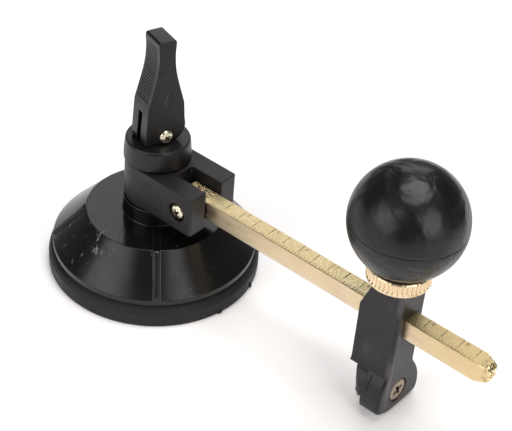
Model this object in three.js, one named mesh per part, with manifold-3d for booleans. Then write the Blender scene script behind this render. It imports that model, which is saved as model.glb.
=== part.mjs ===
// Circle glass cutter: a suction-cup centre post, a graduated arm that swivels on it, and a sliding head
// with a six-wheel cutting turret under a ball knob.
// Millimetres. The origin is the swivel axis at the glass, +X runs out along the arm, +Z is up.
import * as THREE from 'three';
import { mergeVertices } from 'three/addons/utils/BufferGeometryUtils.js';
import Module from 'manifold-3d';

const wasm = await Module();
wasm.setup();

const GAP = 0.3; // left between neighbouring pieces

// Suction pad and its pulled middle
const PAD_R = 30.3;
const PAD_BAND = 4.1;
const PAD_TOP = 6.2;
const PAD_SHOULDER_R = 28.3;
const DIAPHRAGM_R = 22.7;
const DIAPHRAGM_T = 4.2;
const PAD_BOSS_R = 9.0;
const PAD_BOSS_TOP = 9.0;

// Base cone, its boss and the hollow post
const RIM_R = 29.1;
const RIM_Z = [6.6, 8.4];
const PLATE_R = 19.6;
const PLATE_Z = 18.4;
const BOSS_R = 9.2;
const BOSS_TOP = 23.4;
const POST_R = 6.0;
const POST_TOP = 36.6;
const NECK_R = 4.6;
const NECK_TOP = 40.3;
const BORE_R = 3.3;
const RIB = { width: 1.8, height: 0.6 };

// Yoke, collar and stem
const YOKE_R = 9.0;
const YOKE_Z = [24.3, 36.4];
const YOKE_FRONT = 21.0;
const YOKE_SLOT = 3.06;
const YOKE_BACK = 10.2;
const COLLAR_Z = [36.9, 42.9];
const STEM_R = 3.0;
const TONGUE = { half: 0.7, halfWidth: 2.8 };

// Cam lever, turned about the post
const LEVER_TURN = THREE.MathUtils.degToRad(-17.3);
const LEVER_PIVOT_Z = 45.1;
const LEVER_BOTTOM = COLLAR_Z[1] + GAP;
const LEVER_TOP = 73.8;
const LEVER_HALF_DEPTH = 4.0;
const CAM_START = LEVER_PIVOT_Z - LEVER_BOTTOM;
const CAM_RISE = 2.61; // mm of lift per radian of lever
const LEVER_SLOT_TOP = 52.5;
const LEVER_HOLE_R = 1.35;

// Graduated arm
const ARM = { start: 12.0, end: 107.8, tip: 111.4, halfWidth: 2.6, top: 32.7, bottom: 27.1, tipHalf: 1.75 };
const ARM_PIVOT = { x: 15.8, z: 29.9, hole: 1.8, shank: 1.5 };
const TICK = { first: 22.2, last: 106.2, width: 0.22, depth: 0.14 };

// Sliding head
const HEAD_X = [75.0, 86.9];
const HEAD_MID = 81.35;
const HEAD_HALF = 5.5;
const HEAD_Z = [14.2, 41.9];
const CHEEK_X = 81.0;
const HOOD = { x: 77.0, outer: 8.65, inner: 7.4 }; // guard over the upper half of the turret
const CHANNEL = { half: 2.9, low: 26.8, high: 33.0 };
const STUD_R = 2.6;

// Clamp nut and ball knob
const NUT = { radius: 8.2, valley: 7.75, low: 42.2, high: 46.3, teeth: 41, dish: 7.0 };
const BALL = { radius: 14.8, z: 59.7, flat: 45.4, pocket: 5.5 };

// Turret and wheels
const TURRET = { y: 0.2, z: 7.0, radius: 6.45, x: [77.9, 80.7], pocket: 79.3, hub: 1.8 };
const WHEEL = { radius: 2.3, orbit: 4.7, mid: 78.65, half: 0.4, bore: 0.7, pin: 0.62, room: 2.55, count: 6 };
const SCREW_R = 1.5;

// ---- materials ----
const finish = (color, roughness, metalness) => () => new THREE.MeshStandardMaterial({ color, roughness, metalness });
const RUBBER = finish(0x1f2022, 0.85, 0);
const GLOSS = finish(0x0c0d0e, 0.22, 0);
const SATIN = finish(0x232124, 0.45, 0);
const BRASS = finish(0xd8c490, 0.34, 1);
const STEEL = finish(0xb9b6ae, 0.3, 1);

// ---- shape helpers ----
function outward(geometry) {
  const position = geometry.toNonIndexed().attributes.position;
  const [a, b, c] = [new THREE.Vector3(), new THREE.Vector3(), new THREE.Vector3()];
  let volume = 0;
  for (let i = 0; i < position.count; i += 3) {
    a.fromBufferAttribute(position, i);
    b.fromBufferAttribute(position, i + 1);
    c.fromBufferAttribute(position, i + 2);
    volume += a.dot(b.cross(c));
  }
  if (volume < 0) {
    const index = geometry.index.array;
    for (let i = 0; i < index.length; i += 3) {
      [index[i], index[i + 1]] = [index[i + 1], index[i]];
    }
  }
  return geometry;
}

function welded(geometry) {
  const bare = geometry.clone();
  bare.deleteAttribute('normal');
  bare.deleteAttribute('uv');
  const merged = mergeVertices(bare, 1e-4);
  const index = [];
  const old = merged.index.array;
  for (let i = 0; i < old.length; i += 3) {
    const [a, b, c] = [old[i], old[i + 1], old[i + 2]];
    if (a !== b && b !== c && c !== a) index.push(a, b, c);
  }
  merged.setIndex(index);
  return outward(merged);
}

function toSolid(geometry) {
  const mesh = welded(geometry);
  return new wasm.Manifold(new wasm.Mesh({
    numProp: 3,
    vertProperties: new Float32Array(mesh.attributes.position.array),
    triVerts: new Uint32Array(mesh.index.array),
  }));
}

function fromSolid(solid) {
  const mesh = solid.getMesh();
  const geometry = new THREE.BufferGeometry();
  geometry.setAttribute('position', new THREE.BufferAttribute(new Float32Array(mesh.vertProperties), 3));
  geometry.setIndex(new THREE.BufferAttribute(new Uint32Array(mesh.triVerts), 1));
  return geometry;
}

const join = (first, ...others) => fromSolid(others.reduce((s, g) => s.add(toSolid(g)), toSolid(first)));
const overlap = (a, b) => fromSolid(toSolid(a).intersect(toSolid(b)));
const cut = (first, ...others) => fromSolid(others.reduce((s, g) => s.subtract(toSolid(g)), toSolid(first)));

// Points are [radius, height]; the solid turns about +Z.
function turned(points, segments = 64) {
  const profile = points.map(([r, z]) => new THREE.Vector2(r, z));
  if (points[0][0] > 0) profile.push(profile[0].clone());
  return welded(new THREE.LatheGeometry(profile, segments).rotateX(Math.PI / 2));
}

// The same about a line along +X through (y, z): points are [radius, x].
function turnedX(points, y, z, segments = 32) {
  return turned(points, segments).rotateY(Math.PI / 2).translate(0, y, z);
}

// The same about a line along +Y through (x, z): points are [radius, y].
function turnedY(points, x, z, segments = 24) {
  return turned(points, segments).rotateX(-Math.PI / 2).translate(x, 0, z);
}

const disc = (radius, low, high) => [[0, low], [radius, low], [radius, high], [0, high]];
const ring = (inner, outer, low, high) => [[inner, low], [outer, low], [outer, high], [inner, high]];

function block([x0, x1], [y0, y1], [z0, z1]) {
  const box = new THREE.BoxGeometry(x1 - x0, y1 - y0, z1 - z0);
  return welded(box.translate((x0 + x1) / 2, (y0 + y1) / 2, (z0 + z1) / 2));
}

function polygon(points, holes = []) {
  const shape = new THREE.Shape(points.map(([a, b]) => new THREE.Vector2(a, b)));
  for (const hole of holes) shape.holes.push(new THREE.Path(hole.map(([a, b]) => new THREE.Vector2(a, b))));
  return shape;
}

// An outline pushed along +Z between two heights, with an optional small edge bevel.
function pushed(shape, low, high, edge = 0) {
  const geometry = new THREE.ExtrudeGeometry(shape, {
    depth: high - low - 2 * edge,
    bevelEnabled: edge > 0,
    bevelThickness: edge,
    bevelSize: edge,
    bevelOffset: -edge,
    bevelSegments: 1,
    curveSegments: 12,
  });
  return welded(geometry.translate(0, 0, low + edge));
}

// Outline in (y, z), pushed along +X.
function pushedX(shape, low, high, edge = 0) {
  const turn = new THREE.Matrix4().makeBasis(
    new THREE.Vector3(0, 1, 0), new THREE.Vector3(0, 0, 1), new THREE.Vector3(1, 0, 0));
  return pushed(shape, low, high, edge).applyMatrix4(turn);
}

// Outline in (x, z), pushed along Y between two values.
function pushedY(shape, low, high, edge = 0) {
  const turn = new THREE.Matrix4().makeBasis(
    new THREE.Vector3(1, 0, 0), new THREE.Vector3(0, 0, 1), new THREE.Vector3(0, -1, 0));
  return pushed(shape, -high, -low, edge).applyMatrix4(turn);
}

function circle(radius, count, cx = 0, cy = 0, phase = 0) {
  return Array.from({ length: count }, (_, i) => {
    const t = phase + (i / count) * 2 * Math.PI;
    return [cx + radius * Math.cos(t), cy + radius * Math.sin(t)];
  });
}

// A cross recess, sunk from +Z at height `top`.
function crossRecess(radius, depth, top) {
  const arm = radius * 0.19;
  const reach = radius * 0.62;
  const span = [top - depth, top + 1];
  return join(block([-reach, reach], [-arm, arm], span), block([-arm, arm], [-reach, reach], span));
}

// ---- suction pad ----
function suctionPad() {
  return turned([
    [23.0, 0], [PAD_R - 0.4, 0], [PAD_R, 0.4], [PAD_R, PAD_BAND], [PAD_R - 0.9, PAD_BAND + 1.2],
    [PAD_SHOULDER_R, PAD_TOP], [23.0, PAD_TOP],
  ], 60);
}

function padDiaphragm() {
  return turned([
    [0, 0], [DIAPHRAGM_R, 0], [DIAPHRAGM_R, DIAPHRAGM_T], [10.4, DIAPHRAGM_T], [PAD_BOSS_R, 5.6],
    [PAD_BOSS_R, PAD_BOSS_TOP], [3.5, PAD_BOSS_TOP], [3.5, 6.6], [6.3, 6.6], [6.3, 3.2], [0, 3.2],
  ], 40);
}

// ---- base cone with ribs, boss and hollow post ----
function baseCone() {
  const slope = new THREE.Vector2(PLATE_R - RIM_R, PLATE_Z - RIM_Z[1]);
  const length = slope.length();
  const along = slope.clone().divideScalar(length);
  const normal = new THREE.Vector2(along.y, -along.x);
  const at = (t, n) => [RIM_R + along.x * t + normal.x * n, RIM_Z[1] + along.y * t + normal.y * n];
  let body = turned([
    [26.6, RIM_Z[0]], [RIM_R - 0.3, RIM_Z[0]], [RIM_R, RIM_Z[0] + 0.3], [RIM_R, RIM_Z[1]],
    [PLATE_R + 0.3, PLATE_Z - 0.25], [PLATE_R - 0.4, PLATE_Z], [BOSS_R + 0.5, PLATE_Z],
    [BOSS_R, PLATE_Z + 0.5], [BOSS_R, BOSS_TOP - 0.3], [BOSS_R - 0.3, BOSS_TOP], [POST_R, BOSS_TOP],
    [POST_R, POST_TOP], [NECK_R, POST_TOP], [NECK_R, NECK_TOP], [BORE_R, NECK_TOP], [BORE_R, 15.6],
    [18.6, 15.6], [26.6, 7.2],
  ], 60);
  for (const degrees of [45, 135, 225, 315]) {
    const outline = polygon([at(0.7, -1.2), at(0.7, RIB.height * 0.5), at(1.4, RIB.height),
      at(length - 0.8, RIB.height), at(length - 0.5, -1.2)]);
    const rib = pushedY(outline, -RIB.width / 2, RIB.width / 2).rotateZ(THREE.MathUtils.degToRad(degrees));
    body = join(body, rib);
  }
  return body;
}

const swivelWasher = () => turned(ring(POST_R + GAP, 8.6, 23.7, 24.0), 48);

// ---- swivel yoke ----
function swivelYoke() {
  const outline = [];
  for (let i = 0; i <= 28; i += 1) {
    const t = Math.PI / 2 + (i / 28) * Math.PI;
    outline.push([YOKE_R * Math.cos(t), YOKE_R * Math.sin(t)]);
  }
  outline.push([YOKE_FRONT - 0.6, -YOKE_R], [YOKE_FRONT, -YOKE_R + 0.6], [YOKE_FRONT, -YOKE_SLOT],
    [YOKE_BACK + 0.6, -YOKE_SLOT], [YOKE_BACK, -YOKE_SLOT + 0.6], [YOKE_BACK, YOKE_SLOT - 0.6],
    [YOKE_BACK + 0.6, YOKE_SLOT], [YOKE_FRONT, YOKE_SLOT], [YOKE_FRONT, YOKE_R - 0.6],
    [YOKE_FRONT - 0.6, YOKE_R]);
  const shell = pushed(polygon(outline), YOKE_Z[0], YOKE_Z[1], 0.35);
  const hex = pushedY(polygon(circle(3.15, 6, ARM_PIVOT.x, ARM_PIVOT.z)), 7.2, 9.5);
  return cut(shell, turned(disc(POST_R + GAP, 20, 40), 48),
    turnedY(disc(ARM_PIVOT.hole, -10, 10), ARM_PIVOT.x, ARM_PIVOT.z),
    turnedY(disc(2.7, -9.5, -7.2), ARM_PIVOT.x, ARM_PIVOT.z), hex);
}

function armPivotScrew() {
  const screw = turned([
    [0, -8.3], [ARM_PIVOT.shank, -8.3], [ARM_PIVOT.shank, 7.5], [2.3, 7.5], [2.3, 8.2], [1.9, 8.7], [1.1, 8.95],
    [0, 9.0],
  ], 24);
  return cut(screw, crossRecess(2.3, 1.0, 9.0)).rotateX(Math.PI / 2).translate(ARM_PIVOT.x, 0, ARM_PIVOT.z);
}

function armPivotNut() {
  const outline = polygon(circle(2.8, 6, ARM_PIVOT.x, ARM_PIVOT.z), [circle(1.8, 20, ARM_PIVOT.x, ARM_PIVOT.z)]);
  return pushedY(outline, 7.5, 8.9);
}

// ---- collar that caps the post ----
function collarCap() {
  const [low, high] = COLLAR_Z;
  const body = turned([
    [NECK_R + GAP, low], [9.15, low], [9.35, low + 0.25], [9.25, low + 2.0], [8.95, high - 0.5],
    [8.55, high], [0, high], [0, NECK_TOP + GAP], [NECK_R + GAP, NECK_TOP + GAP],
  ].reverse(), 52);
  const slot = block([-TONGUE.half - GAP, TONGUE.half + GAP],
    [-TONGUE.halfWidth - GAP, TONGUE.halfWidth + GAP], [NECK_TOP, high + 1]);
  return cut(body, slot.rotateZ(LEVER_TURN));
}

// ---- stem that pulls the pad's middle up ----
function pullStem() {
  const foot = turned([
    [0, 3.5], [6.0, 3.5], [6.0, 6.2], [5.9, 6.3], [STEM_R, 6.3], [STEM_R, 15.0], [0, 15.0],
  ], 32);
  const outline = [[-TONGUE.halfWidth, 13.0], [TONGUE.halfWidth, 13.0]];
  for (let i = 0; i <= 14; i += 1) {
    const t = (i / 14) * Math.PI;
    outline.push([TONGUE.halfWidth * Math.cos(t), LEVER_PIVOT_Z + TONGUE.halfWidth * Math.sin(t)]);
  }
  const eye = circle(LEVER_HOLE_R, 20, 0, LEVER_PIVOT_Z);
  const tongue = pushedX(polygon(outline, [eye]), -TONGUE.half, TONGUE.half);
  return join(foot, tongue);
}

// ---- cam lever ----
// Half the lever's width at a height, from the cheeks up to the thumb grip.
function leverHalfWidth(z) {
  const table = [[43, 6.0], [45, 6.0], [50, 5.7], [55, 5.4], [59.5, 4.1], [63, 3.2], [67, 2.5], [70, 2.4], [74, 2.6]];
  for (let i = 1; i < table.length; i += 1) {
    const [z0, w0] = table[i - 1];
    const [z1, w1] = table[i];
    if (z <= z1) return w0 + ((w1 - w0) * (z - z0)) / (z1 - z0);
  }
  return table[table.length - 1][1];
}

function leverFlank() {
  const flank = [[5.7, 50], [5.4, 55]];
  for (let z = 56.4; z < 72; z += 0.8) {
    flank.push([leverHalfWidth(z), z]);
    flank.push([leverHalfWidth(z + 0.4) - 0.2, z + 0.4]);
  }
  flank.push([leverHalfWidth(72.4), 72.4], [2.55, 73.3], [2.1, LEVER_TOP]);
  return flank;
}

function camLever() {
  const outline = [[-5.9, LEVER_BOTTOM]];
  for (let i = 0; i <= 12; i += 1) {
    const t = (i / 12) * (Math.PI / 2);
    const reach = CAM_START + CAM_RISE * t;
    outline.push([
      reach * Math.sin(t) + CAM_RISE * Math.cos(t),
      LEVER_PIVOT_Z - reach * Math.cos(t) + CAM_RISE * Math.sin(t),
    ]);
  }
  const flank = leverFlank();
  outline.push(...flank);
  outline.push(...flank.slice().reverse().map(([w, z]) => [-w, z]));
  outline.push([-6.0, 45.0], [-6.0, LEVER_BOTTOM + 0.2]);
  const body = pushedX(polygon(outline), -LEVER_HALF_DEPTH, LEVER_HALF_DEPTH);
  const position = body.attributes.position;
  for (let i = 0; i < position.count; i += 1) {
    const taper = 1 - 0.0625 * THREE.MathUtils.clamp((position.getZ(i) - 55) / 18.8, 0, 1);
    position.setX(i, position.getX(i) * taper);
  }
  const dimple = (side) => new THREE.SphereGeometry(8, 48, 32)
    .translate(side * (LEVER_HALF_DEPTH + 8 - 0.42), 0.9, 56.2);
  return cut(body, block([-1, 1], [-9, 9], [40, LEVER_SLOT_TOP]),
    turnedX(disc(LEVER_HOLE_R, -8, 8), 0, LEVER_PIVOT_Z, 20),
    dimple(1), dimple(-1));
}

function leverPivotScrew() {
  const screw = turned([
    [0, -4.9], [1.05, -4.9], [1.05, 4.12], [1.95, 4.12], [1.95, 4.5], [1.6, 4.95], [0.9, 5.15], [0, 5.2],
  ], 24);
  const headed = cut(screw, crossRecess(1.95, 0.75, 5.2));
  return headed.rotateY(Math.PI / 2);
}

function leverPivotNut() {
  const nut = turned(ring(1.2, 1.95, -5.1, -4.12), 24);
  return nut.rotateY(Math.PI / 2);
}

// ---- graduated arm ----
function scaleBar() {
  const mid = (ARM.top + ARM.bottom) / 2;
  const tall = (ARM.top - ARM.bottom) / 2;
  const corners = [[-1, -1], [1, -1], [1, 1], [-1, 1]];
  const rings = [
    corners.map(([a, b]) => [ARM.start, a * ARM.halfWidth, mid + b * tall]),
    corners.map(([a, b]) => [ARM.end, a * ARM.halfWidth, mid + b * tall]),
    corners.map(([a, b]) => [ARM.tip, a * ARM.tipHalf, mid + b * ARM.tipHalf]),
  ].flat();
  const index = [0, 2, 1, 0, 3, 2, 8, 9, 10, 8, 10, 11];
  for (const row of [0, 4]) {
    for (let i = 0; i < 4; i += 1) {
      const [a, b] = [row + i, row + ((i + 1) % 4)];
      index.push(a, b, b + 4, a, b + 4, a + 4);
    }
  }
  const bar = new THREE.BufferGeometry();
  bar.setAttribute('position', new THREE.Float32BufferAttribute(rings.flat(), 3));
  bar.setIndex(index);
  const ticks = [];
  const floor = [ARM.top - TICK.depth, ARM.top + 1];
  for (let x = TICK.first; x <= TICK.last + 0.01; x += 1) {
    const span = [x - TICK.width / 2, x + TICK.width / 2];
    ticks.push(block(span, [-3.5, -1.4], floor));
    if (Math.round(x - 1.2) % 5 === 0) ticks.push(block(span, [-0.9, 3.5], floor));
  }
  return cut(bar, turnedY(disc(ARM_PIVOT.hole, -8, 8), ARM_PIVOT.x, ARM_PIVOT.z), ...ticks);
}

// ---- sliding head with its outer cheek ----
function sliderBody() {
  const [x0, x1] = HEAD_X;
  const [low, high] = HEAD_Z;
  const side = polygon([[x0, low], [x1, low], [x1, high], [78.6, high], [78.0, 41.2], [x0, 33.3]]);
  const cheek = polygon([
    [-5.5, 16.2], [-5.6, 14.6], [-7.0, 12.8], [-7.9, 10.4], [-8.3, 7.5], [-8.05, 4.5], [-7.7, 3.2], [-6.4, 2.1],
    [-3.4, 1.0], [0.6, 0.65], [5.0, 0.65], [8.3, 0.75], [9.6, 1.4], [10.1, 3.5], [9.8, 6.7], [8.7, 9.6], [7.5, 11.9],
    [5.7, 14.4], [5.5, 15.6], [5.5, 16.2],
  ].reverse());
  // The guard is half a tube about the turret's axis, its two outer corners cut back at an angle to meet the cheek
  const tube = turnedX(ring(HOOD.inner, HOOD.outer, HOOD.x, CHEEK_X + 0.5), TURRET.y, TURRET.z, 72);
  const plan = polygon([
    [HOOD.x, -5.45], [CHEEK_X - 0.4, -8.6], [CHEEK_X - 0.4, -9.5], [CHEEK_X + 1, -9.5],
    [CHEEK_X + 1, 9.5], [CHEEK_X - 0.4, 9.5], [CHEEK_X - 0.4, 8.8], [HOOD.x, 5.65],
  ]);
  const hood = overlap(tube, pushed(plan, TURRET.z, 20));
  const hull = join(pushedY(side, -HEAD_HALF, HEAD_HALF, 0.45), pushedX(cheek, CHEEK_X, x1, 0.4), hood);
  return cut(hull, block([70, 90], [-CHANNEL.half, CHANNEL.half], [CHANNEL.low, CHANNEL.high]),
    turnedX(disc(HOOD.inner, 70, CHEEK_X), TURRET.y, TURRET.z, 72),
    turned(disc(STUD_R + GAP, CHANNEL.high - 1, 45), 28).translate(HEAD_MID, 0, 0),
    turnedX([[0, 80], [1.8, 80], [1.8, 84.9], [3.7, x1], [3.9, x1 + 0.2], [0, x1 + 0.2]], TURRET.y, TURRET.z));
}

function turretScrew() {
  const screw = turned([
    [0, 76.4], [SCREW_R, 76.4], [SCREW_R, 84.95], [3.25, 86.6], [3.25, 86.75], [3.0, 86.85], [0, 86.85],
  ], 32);
  const cross = crossRecess(3.0, 1.7, 86.85);
  return cut(screw, cross).rotateY(Math.PI / 2).translate(0, TURRET.y, TURRET.z);
}

function turretNut() {
  return pushedX(polygon(circle(3.0, 6, TURRET.y, TURRET.z), [circle(1.8, 20, TURRET.y, TURRET.z)]), 76.2, 77.6);
}

// ---- clamp: shoe, knurled nut with stud, knob ----
const clampShoe = () => turned([[0, 33.0], [2.3, 33.0], [2.5, 33.2], [2.5, 34.2], [0, 34.2]], 28);

function clampNut() {
  const outline = [];
  for (let i = 0; i < NUT.teeth; i += 1) {
    for (const [offset, radius] of [[0, NUT.valley], [0.3, NUT.radius], [0.7, NUT.radius]]) {
      const t = ((i + offset) / NUT.teeth) * 2 * Math.PI;
      outline.push([radius * Math.cos(t), radius * Math.sin(t)]);
    }
  }
  const knurl = pushed(polygon(outline, [circle(NUT.dish, 48)]), NUT.low + 0.6, NUT.high - 0.5);
  const core = turned([
    [0, 34.5], [STUD_R, 34.5], [STUD_R, NUT.low], [7.3, NUT.low], [7.7, NUT.low + 0.4], [7.7, NUT.high - 0.3],
    [7.4, NUT.high], [NUT.dish, NUT.high], [6.6, 45.5], [3.4, 44.7], [2.4, 44.7], [2.4, 57.6], [0, 57.6],
  ], 48);
  return join(core, knurl);
}

const knobRetainer = () => turned(ring(2.55, 4.9, 54.4, 56.8), 32);

// Points of the ball's outline between two heights.
function ballArc(low, high, steps) {
  const angle = (z) => Math.asin(THREE.MathUtils.clamp((z - BALL.z) / BALL.radius, -1, 1));
  return Array.from({ length: steps + 1 }, (_, i) => {
    const t = angle(low) + ((angle(high) - angle(low)) * i) / steps;
    return [Math.max(0, BALL.radius * Math.cos(t)), BALL.z + BALL.radius * Math.sin(t)];
  });
}

function knobLower() {
  const seam = BALL.z - 0.1;
  const arc = ballArc(BALL.flat, seam - 0.3, 11);
  return turned([[2.7, BALL.flat], ...arc, [BALL.radius - 0.35, seam], [BALL.pocket, seam],
    [BALL.pocket, 54.1], [2.7, 54.1]], 48);
}

function knobUpper() {
  const seam = BALL.z + 0.1;
  const arc = ballArc(seam + 0.3, BALL.z + BALL.radius, 12);
  arc[arc.length - 1][0] = 0;
  return turned([[0, 61.5], [BALL.pocket - 0.6, 61.5], [BALL.pocket, 60.9], [BALL.pocket, seam],
    [BALL.radius - 0.35, seam], ...arc], 48);
}

// ---- turret, wheels and their pins, all about the turret's own axis ----
const wheelAngle = (i) => -Math.PI / 2 + (i / WHEEL.count) * 2 * Math.PI;
const wheelCentre = (i) => [WHEEL.orbit * Math.cos(wheelAngle(i)), WHEEL.orbit * Math.sin(wheelAngle(i))];

function wheelTurret() {
  const { x, radius, pocket, hub } = TURRET;
  const body = turnedX([
    [hub, x[0]], [radius - 0.3, x[0]], [radius, x[0] + 0.3], [radius, x[1] - 0.3], [radius - 0.3, x[1]],
    [hub, x[1]],
  ], 0, 0, 48);
  const holes = [];
  for (let i = 0; i < WHEEL.count; i += 1) {
    holes.push(turnedX(disc(WHEEL.room, x[0] - 1, pocket), ...wheelCentre(i), 24));
    holes.push(turnedX(disc(WHEEL.bore, x[0] - 1, 80.3), ...wheelCentre(i), 12));
  }
  return cut(body, ...holes);
}

function cutterWheel() {
  const { radius, mid, half, bore } = WHEEL;
  return turnedX([
    [bore, mid - half], [1.75, mid - half], [radius, mid], [1.75, mid + half], [bore, mid + half],
  ], 0, 0, 24);
}

const wheelAxle = () => turnedX([
  [0, 77.6], [1.1, 77.6], [1.1, 77.95], [WHEEL.pin, 77.95], [WHEEL.pin, 80.1], [0, 80.1],
], 0, 0, 12);

// ---- assembly ----
function group(name, parent, x = 0, y = 0, z = 0) {
  const made = new THREE.Group();
  made.name = name;
  made.position.set(x, y, z);
  if (parent) parent.add(made);
  return made;
}

function place(name, parent, geometry, material, x = 0, y = 0, z = 0) {
  const mesh = new THREE.Mesh(geometry, material());
  mesh.name = name;
  mesh.position.set(x, y, z);
  parent.add(mesh);
  return mesh;
}

const cutter = group('circle_glass_cutter', null);

const base = group('base_group', cutter);
place('suction_pad', base, suctionPad(), RUBBER);
place('pad_diaphragm', base, padDiaphragm(), RUBBER);
place('base_cone', base, baseCone(), GLOSS);
place('swivel_washer', base, swivelWasher(), STEEL);
place('collar_cap', base, collarCap(), GLOSS);

const lever = group('lever_group', base);
lever.rotation.z = LEVER_TURN;
place('pull_stem', lever, pullStem(), STEEL);
place('cam_lever', lever, camLever(), SATIN);
place('lever_pivot_screw', lever, leverPivotScrew(), STEEL, 0, 0, LEVER_PIVOT_Z);
place('lever_pivot_nut', lever, leverPivotNut(), STEEL, 0, 0, LEVER_PIVOT_Z);

const arm = group('arm_group', cutter);
place('swivel_yoke', arm, swivelYoke(), SATIN);
place('arm_pivot_screw', arm, armPivotScrew(), STEEL);
place('arm_pivot_nut', arm, armPivotNut(), STEEL);
place('scale_bar', arm, scaleBar(), BRASS);

const head = group('head_group', arm);
place('slider_body', head, sliderBody(), SATIN);
place('turret_screw', head, turretScrew(), STEEL);
place('turret_nut', head, turretNut(), STEEL);

const clamp = group('clamp_group', head, HEAD_MID);
place('clamp_shoe', clamp, clampShoe(), BRASS);
place('clamp_nut', clamp, clampNut(), BRASS);
place('knob_retainer', clamp, knobRetainer(), STEEL);
place('knob_lower', clamp, knobLower(), SATIN);
place('knob_upper', clamp, knobUpper(), SATIN);

const turret = group('turret_group', head, 0, TURRET.y, TURRET.z);
place('wheel_turret', turret, wheelTurret(), SATIN);
for (let i = 0; i < WHEEL.count; i += 1) {
  const [y, z] = wheelCentre(i);
  place(`cutter_wheel_${i + 1}`, turret, cutterWheel(), STEEL, 0, y, z);
  place(`wheel_axle_${i + 1}`, turret, wheelAxle(), STEEL, 0, y, z);
}

export default cutter;
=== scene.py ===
"""Looks for the circle glass cutter: a suction-cup post, a graduated brass bar and a sliding head
with a ball knob."""
import math

import bmesh
import bpy
from mathutils import Matrix, Vector


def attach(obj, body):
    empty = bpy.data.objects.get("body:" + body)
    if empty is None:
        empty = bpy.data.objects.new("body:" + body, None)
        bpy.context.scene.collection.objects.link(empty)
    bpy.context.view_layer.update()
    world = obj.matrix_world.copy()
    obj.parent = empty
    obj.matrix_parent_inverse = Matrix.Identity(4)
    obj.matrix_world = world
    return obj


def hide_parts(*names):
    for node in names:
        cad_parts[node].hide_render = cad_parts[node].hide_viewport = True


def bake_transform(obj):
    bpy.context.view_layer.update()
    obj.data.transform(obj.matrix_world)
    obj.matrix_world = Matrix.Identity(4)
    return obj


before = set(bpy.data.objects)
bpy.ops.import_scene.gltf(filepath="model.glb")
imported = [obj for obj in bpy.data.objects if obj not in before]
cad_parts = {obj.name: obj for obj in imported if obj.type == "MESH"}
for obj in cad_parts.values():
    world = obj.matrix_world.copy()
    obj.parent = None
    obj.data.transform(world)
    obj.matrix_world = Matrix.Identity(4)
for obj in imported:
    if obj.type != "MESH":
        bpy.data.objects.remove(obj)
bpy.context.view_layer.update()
MM = 0.001
scene = bpy.context.scene

# Driving sizes in millimetres
PAD_R, PAD_MID_R = 30.3, 22.85
CONE_FOOT, CONE_TOP = (29.1, 8.4), (19.6, 18.4)
YOKE_R, YOKE_LOW, YOKE_HIGH, YOKE_END = 9.0, 24.3, 36.45, 21.0
POST_BORE, PIVOT_BORE = 6.25, 1.75
LEVER_TURN = math.radians(-17.3)
LEVER_PIVOT_Z = 45.1
LEVER_TOP, LEVER_ROUND = 74.3, 0.75
CAM_REACH, CAM_RISE = 1.95, 2.61
BAR_TOP, BAR_LOW, BAR_HALF, BAR_TALL = 32.7, 27.1, 2.6, 2.8
FIRST_MARK, FIRST_LONG, MARKS = 22.2, 21.2, 85
ARM_PIVOT = (15.8, 29.9)
HEAD_MID = 81.35
HEAD_BACK, HEAD_FACE, CHEEK_BACK = 75.0, 86.9, 81.0
BALL_R, BALL_Z = 14.8, 59.7
KNURL_TEETH, KNURL_DEEP, KNURL_LOW, KNURL_HIGH = 41, 0.38, 42.95, 45.9
TURRET_Y, TURRET_Z = 0.2, 7.0
TURRET_R, ROOM_R, POCKET_R = 6.42, 7.4, 2.55
WHEEL_R, WHEEL_ORBIT, WHEEL_MID = 2.3, 4.7, 78.65

# Places that several pieces share
AT_PIVOT = (ARM_PIVOT[0], 0, ARM_PIVOT[1])
AT_LEVER = (0, 0, LEVER_PIVOT_Z)
AT_HEAD = (HEAD_MID, 0, 0)
AT_TURRET = (0, TURRET_Y, TURRET_Z)


# ------------------------ mesh helpers
def new_object(name, bm, turn=None, move=(0, 0, 0)):
    """A Blender object from a bmesh drawn in millimetres."""
    if turn is not None:
        bmesh.ops.transform(bm, matrix=turn, verts=bm.verts)
    bmesh.ops.translate(bm, vec=Vector(move), verts=bm.verts)
    bmesh.ops.scale(bm, vec=(MM, MM, MM), verts=bm.verts)
    bmesh.ops.recalc_face_normals(bm, faces=bm.faces)
    mesh = bpy.data.meshes.new(name)
    bm.to_mesh(mesh)
    bm.free()
    obj = bpy.data.objects.new(name, mesh)
    scene.collection.objects.link(obj)
    return obj


def rounded(points, steps=4):
    """A closed outline of (a, b) or (a, b, radius) points, each corner turned into an arc of its radius."""
    out = []
    count = len(points)
    for i, point in enumerate(points):
        radius = point[2] if len(point) > 2 else 0.0
        p = Vector(point[:2])
        before = Vector(points[i - 1][:2]) - p
        after = Vector(points[(i + 1) % count][:2]) - p
        if radius <= 0 or before.length < 1e-6 or after.length < 1e-6:
            out.append((p.x, p.y))
            continue
        angle = before.angle(after)
        if angle > math.pi - 0.03 or angle < 0.05:
            out.append((p.x, p.y))
            continue
        reach = min(radius / math.tan(angle / 2), before.length * 0.48, after.length * 0.48)
        radius = reach * math.tan(angle / 2)
        u, v = before.normalized(), after.normalized()
        centre = p + (u + v).normalized() * (radius / math.sin(angle / 2))
        start, end = p + u * reach - centre, p + v * reach - centre
        a0 = math.atan2(start.y, start.x)
        sweep = math.atan2(start.x * end.y - start.y * end.x, start.dot(end))
        for k in range(steps + 1):
            a = a0 + sweep * k / steps
            out.append((centre.x + radius * math.cos(a), centre.y + radius * math.sin(a)))
    return out


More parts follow.
